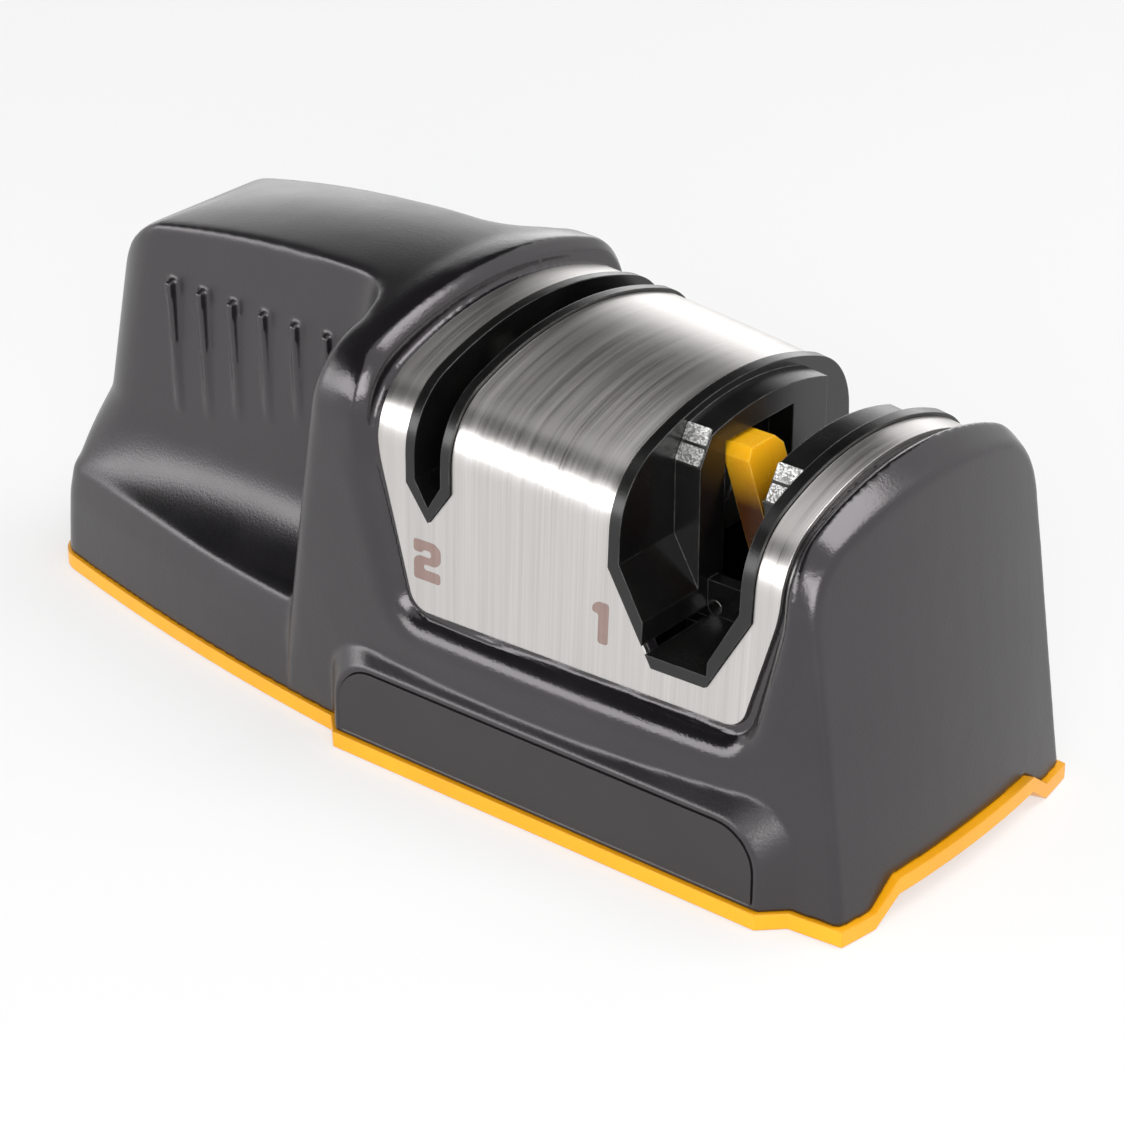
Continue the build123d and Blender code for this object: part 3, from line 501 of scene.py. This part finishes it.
def rollLedge(mesh):
    # below and left of the steel the walls roll over, deeper than the chamfer
    look = housingLook
    (left, right), (low, high) = look["rollX"], look["rollZ"]
    reach, radius = look["rollReach"], look["rollRadius"]
    walls = treeOf("housing_shell")
    for vertex in mesh.vertices:
        x, y, z = (value / mm for value in vertex.co)
        if not (left < x < right and low < z < high and abs(y) > look["rollFront"]):
            continue
        run = windowDistance(x, z) - look["lip"]
        if not -look["rollSlack"] < run < reach:
            continue
        outX, outZ = Vector((x, z)) + awayFromWindow(x, z) * (reach + look["rollProbe"] - run)
        side = -1.0 if y < 0.0 else 1.0
        wall = walls.ray_cast(Vector((outX * mm, side * clearOf, outZ * mm)),
                              Vector((0.0, -side, 0.0)))[0]
        if wall is None:
            continue
        rest = reach - max(0.0, run)
        depth = radius - (radius ** 2 - rest ** 2) ** 0.5
        push = max(0.0, depth - (abs(wall.y) / mm - abs(y)))
        push *= (1 - fade(z, *look["rollTop"])) * (1 - fade(x, *look["rollRight"]))
        vertex.co.y -= side * push * mm


def soften(piece, name, steps, weigh=None):
    smooth = piece.modifiers.new(name, "SMOOTH")
    smooth.factor = 0.5
    smooth.iterations = steps
    if weigh:
        group = piece.vertex_groups.new(name=name)
        for vertex in piece.data.vertices:
            weight = weigh(vertex.co.x / mm, vertex.co.z / mm)
            if weight > 0.0:
                group.add((vertex.index,), weight, "REPLACE")
        smooth.vertex_group = name


def shellHousing():
    look = housingLook
    piece = addPiece("housing", mergedMesh("housing_shell"), "blackPlastic", "body")
    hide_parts("housing_shell")
    remesh = piece.modifiers.new("evenMesh", "REMESH")
    remesh.mode = "VOXEL"
    remesh.voxel_size = look["voxel"]
    rollLedge(applyModifiers(piece))
    soften(piece, "softEdges", look["edgeSteps"])
    soften(piece, "softGrip", look["gripSteps"], gripWeight)
    soften(piece, "softLedge", look["ledgeSteps"], ledgeWeight)
    mesh = applyModifiers(piece)
    piece.vertex_groups.clear()
    triangles = sum(len(face.vertices) - 2 for face in mesh.polygons)
    thin = piece.modifiers.new("lighter", "DECIMATE")
    thin.ratio = min(1.0, look["triangles"] / triangles)
    mesh = applyModifiers(piece)
    smoothShade(mesh, look["sharpAngle"])
    polish = mesh.attributes.new("polish", "FLOAT", "POINT")
    for vertex, value in zip(mesh.vertices, polish.data):
        value.value = polishAt(vertex.co.x / mm, vertex.co.z / mm)
    print("housing triangles:", triangles, "to", len(mesh.polygons))


shellHousing()


# the other nodes, each with its material and slot

dressed = {
    "base_plate": ("yellowPlastic", "yellow_plastic"),
    "front_nameplate": ("satinBlack", "satin_black"),
    "rear_nameplate": ("satinBlack", "satin_black"),
    "steel_cover": ("brushedSteel", "brushed_steel"),
    "coarse_guide": ("guidePlastic", "guide_plastic"),
    "fine_guide": ("guidePlastic", "guide_plastic"),
    "left_arm": ("amberPlastic", "amber_plastic"),
    "right_arm": ("amberPlastic", "amber_plastic"),
    "left_diamond_plate": ("diamondGrit", "diamond_grit"),
    "right_diamond_plate": ("diamondGrit", "diamond_grit"),
    "left_arm_pin": ("pinSteel", "pin_steel"),
    "right_arm_pin": ("pinSteel", "pin_steel"),
    "left_arm_spring": ("springSteel", "spring_steel"),
    "right_arm_spring": ("springSteel", "spring_steel"),
    "left_grit_pads": ("diamondGrit", "diamond_grit"),
    "right_grit_pads": ("diamondGrit", "diamond_grit"),
    "rod_cradle": ("guidePlastic", "guide_plastic"),
    "front_ceramic_rod": ("ceramic", "ceramic"),
    "rear_ceramic_rod": ("ceramic", "ceramic"),
    "inner_frame": ("guidePlastic", "guide_plastic"),
    "base_screws": ("screwSteel", "screw_steel"),
    "frame_screws": ("screwSteel", "screw_steel"),
    "guide_screws": ("screwSteel", "screw_steel"),
    "cradle_screws": ("screwSteel", "screw_steel"),
    "rubber_feet": ("rubber", "rubber"),
}


def dressNode(nodeName, material):
    mesh = mergedMesh(nodeName, dressLook["flatAngle"])
    smoothShade(mesh, dressLook["sharpAngle"])
    body = nodes[nodeName]["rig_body"]
    piece = addPiece(nodeName + "_dressed", mesh, material, body)
    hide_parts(nodeName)


for nodeName, (material, slot) in dressed.items():
    dressNode(nodeName, material)
print("nodes dressed:", len(dressed) + 1)


# stage digits, printed on the steel, in mm from each digit's lower left corner

digitLook = {
    "two": {"spot": (6.5, 35.4), "round": 0.5,
            "outline": ((0.0, 7.0), (4.2, 7.0), (5.4, 6.1), (5.4, 3.8), (4.4, 2.9),
                        (2.0, 2.9), (2.0, 1.9), (5.3, 1.9), (5.3, 0.0), (0.0, 0.0),
                        (0.0, 3.4), (0.9, 4.2), (3.5, 4.2), (3.5, 5.4), (1.8, 5.4),
                        (1.8, 4.8), (0.0, 4.8))},
    "one": {"spot": (41.3, 35.5), "round": 0.5,
            "outline": ((0.0, 5.0), (0.0, 6.1), (1.0, 7.0), (3.1, 7.0), (3.1, 0.0),
                        (1.2, 0.0), (1.2, 5.0))},
}
inkLift, inkRoot = 0.03 * mm, 0.2 * mm


def printDigit(name, look, steelTree):
    spotX, spotZ = look["spot"]
    bm = bmesh.new()
    corners = [bm.verts.new(((spotX + u) * mm, 0.0, (spotZ + v) * mm))
               for u, v in look["outline"]]
    bm.faces.new(corners)
    bmesh.ops.bevel(bm, geom=corners, offset=look["round"] * mm, affect="VERTICES",
                    segments=3, profile=0.5, material=-1)
    bmesh.ops.triangulate(bm, faces=bm.faces[:])
    bmesh.ops.subdivide_edges(bm, edges=bm.edges[:], cuts=2, use_grid_fill=True)
    raised = bmesh.ops.extrude_face_region(bm, geom=bm.faces[:])["geom"]
    top = {part for part in raised if isinstance(part, bmesh.types.BMVert)}
    for vertex in bm.verts:
        start = Vector((vertex.co.x, -clearOf, vertex.co.z))
        place, normal, _, _ = steelTree.ray_cast(start, Vector((0.0, 1.0, 0.0)))
        vertex.co = place + normal * (inkLift if vertex in top else -inkRoot)
    bmesh.ops.recalc_face_normals(bm, faces=bm.faces[:])
    addPiece(name, meshFrom(bm, name), "stageInk", "body")


steelTree = treeOf("steel_cover")
for digit, look in digitLook.items():
    printDigit("stage_digit_" + digit, look, steelTree)
print("digits printed:", len(digitLook))


# stage, in metres

stageLook = {"floorColour": (0.86, 0.86, 0.86), "floorGlow": 0.6, "floorSize": 6.0,
             "worldLight": 0.6, "worldSeen": 1.0, "middle": (0.0, 0.0, 0.04)}
lightLook = {
    "backSoftbox": {"spot": (-1.02, 0.98, 0.2), "size": (1.4, 0.4), "power": 2.3},
    "topSoftbox": {"spot": (0.5, 0.25, 1.25), "size": (0.8, 0.8), "power": 9.0},
    "lowStrip": {"spot": (-0.585, -0.82, 0.3), "size": (1.2, 0.38), "power": 5.6},
    "frontFill": {"spot": (0.75, -0.95, 0.5), "size": (0.7, 0.7), "power": 9.0},
}
flagLook = {
    "frontFlag": {"spot": (-0.53, -0.45, 0.69), "size": (1.7, 0.56)},
    "overFlag": {"spot": (-0.53, 0.19, 0.8), "size": (1.7, 0.8)},
}


def mixSeen(tree, plain, seen, glow, out):
    # the camera, gloss and clear parts see one shader, and the lighting the other
    path = nodeAt(tree, "ShaderNodeLightPath")
    shown = mathNode(tree, "MAXIMUM", path.outputs["Is Camera Ray"],
                     mathNode(tree, "MAXIMUM", path.outputs["Is Glossy Ray"],
                              path.outputs["Is Transmission Ray"]))
    mix = nodeAt(tree, "ShaderNodeMixShader")
    tree.links.new(mathNode(tree, "MULTIPLY", shown, glow), mix.inputs[0])
    tree.links.new(plain.outputs[0], mix.inputs[1])
    tree.links.new(seen.outputs[0], mix.inputs[2])
    tree.links.new(mix.outputs[0], out.inputs["Surface"])


def layFloor():
    bm = bmesh.new()
    bmesh.ops.create_grid(bm, x_segments=1, y_segments=1, size=stageLook["floorSize"] / 2)
    floor = linkObject("floor", meshFrom(bm, "floor"))
    material, tree, shader = startMaterial(
        "paleFloor", Roughness=0.9, Specular_IOR_Level=0.1,
        Base_Color=(*stageLook["floorColour"], 1.0))
    glow = setInputs(nodeAt(tree, "ShaderNodeEmission"), Strength=1.0)
    mixSeen(tree, shader, glow, stageLook["floorGlow"], tree.nodes["Material Output"])
    floor.data.materials.append(material)


def lightWorld():
    world = bpy.data.worlds.new("studio")
    world.use_nodes = True
    bpy.context.scene.world = world
    tree = world.node_tree
    tree.nodes.clear()
    plain, seen = (setInputs(nodeAt(tree, "ShaderNodeBackground"),
                             Color=(1.0, 1.0, 1.0, 1.0), Strength=stageLook[label])
                   for label in ("worldLight", "worldSeen"))
    mixSeen(tree, plain, seen, 1.0, nodeAt(tree, "ShaderNodeOutputWorld"))


def aimFrom(spot):
    return (Vector(stageLook["middle"]) - Vector(spot)).to_track_quat("-Z", "Y")


def hangLight(name, look):
    data = bpy.data.lights.new(name, "AREA")
    data.shape = "RECTANGLE"
    data.size, data.size_y = look["size"]
    data.energy = look["power"]
    light = linkObject(name, data)
    light.location = look["spot"]
    light.rotation_euler = aimFrom(look["spot"]).to_euler()


def hangFlag(name, look):
    # dark card that the gloss shows, as a studio hangs one
    bm = bmesh.new()
    bmesh.ops.create_grid(bm, x_segments=1, y_segments=1, size=0.5)
    place = (Matrix.Translation(look["spot"]) @ aimFrom(look["spot"]).to_matrix().to_4x4()
             @ Matrix.Diagonal((*look["size"], 1.0, 1.0)))
    bmesh.ops.transform(bm, matrix=place, verts=bm.verts[:])
    flag = linkObject(name, meshFrom(bm, name))
    flag.visible_camera = False
    material, _, _ = startMaterial(name, Roughness=1.0, Specular_IOR_Level=0.0,
                                   Base_Color=(0.01, 0.01, 0.01, 1.0))
    flag.data.materials.append(material)


layFloor()
lightWorld()
for name, look in lightLook.items():
    hangLight(name, look)
for name, look in flagLook.items():
    hangFlag(name, look)
print("stage lit")


# camera

cameraLook = {"spot": (0.325649, -0.387657, 0.289979), "azimuth": 39.093,
              "elevation": 27.831, "lens": 109.28, "sensor": 36.0, "nearest": 0.01}


def setCamera():
    look = cameraLook
    data = bpy.data.cameras.new("photoCamera")
    data.lens = look["lens"]
    data.sensor_width = look["sensor"]
    data.clip_start = look["nearest"]
    camera = linkObject("photoCamera", data)
    camera.location = look["spot"]
    camera.rotation_euler = (radians(90 - look["elevation"]), 0.0, radians(look["azimuth"]))
    bpy.context.scene.camera = camera


setCamera()
bpy.context.scene.view_settings.view_transform = "Standard"
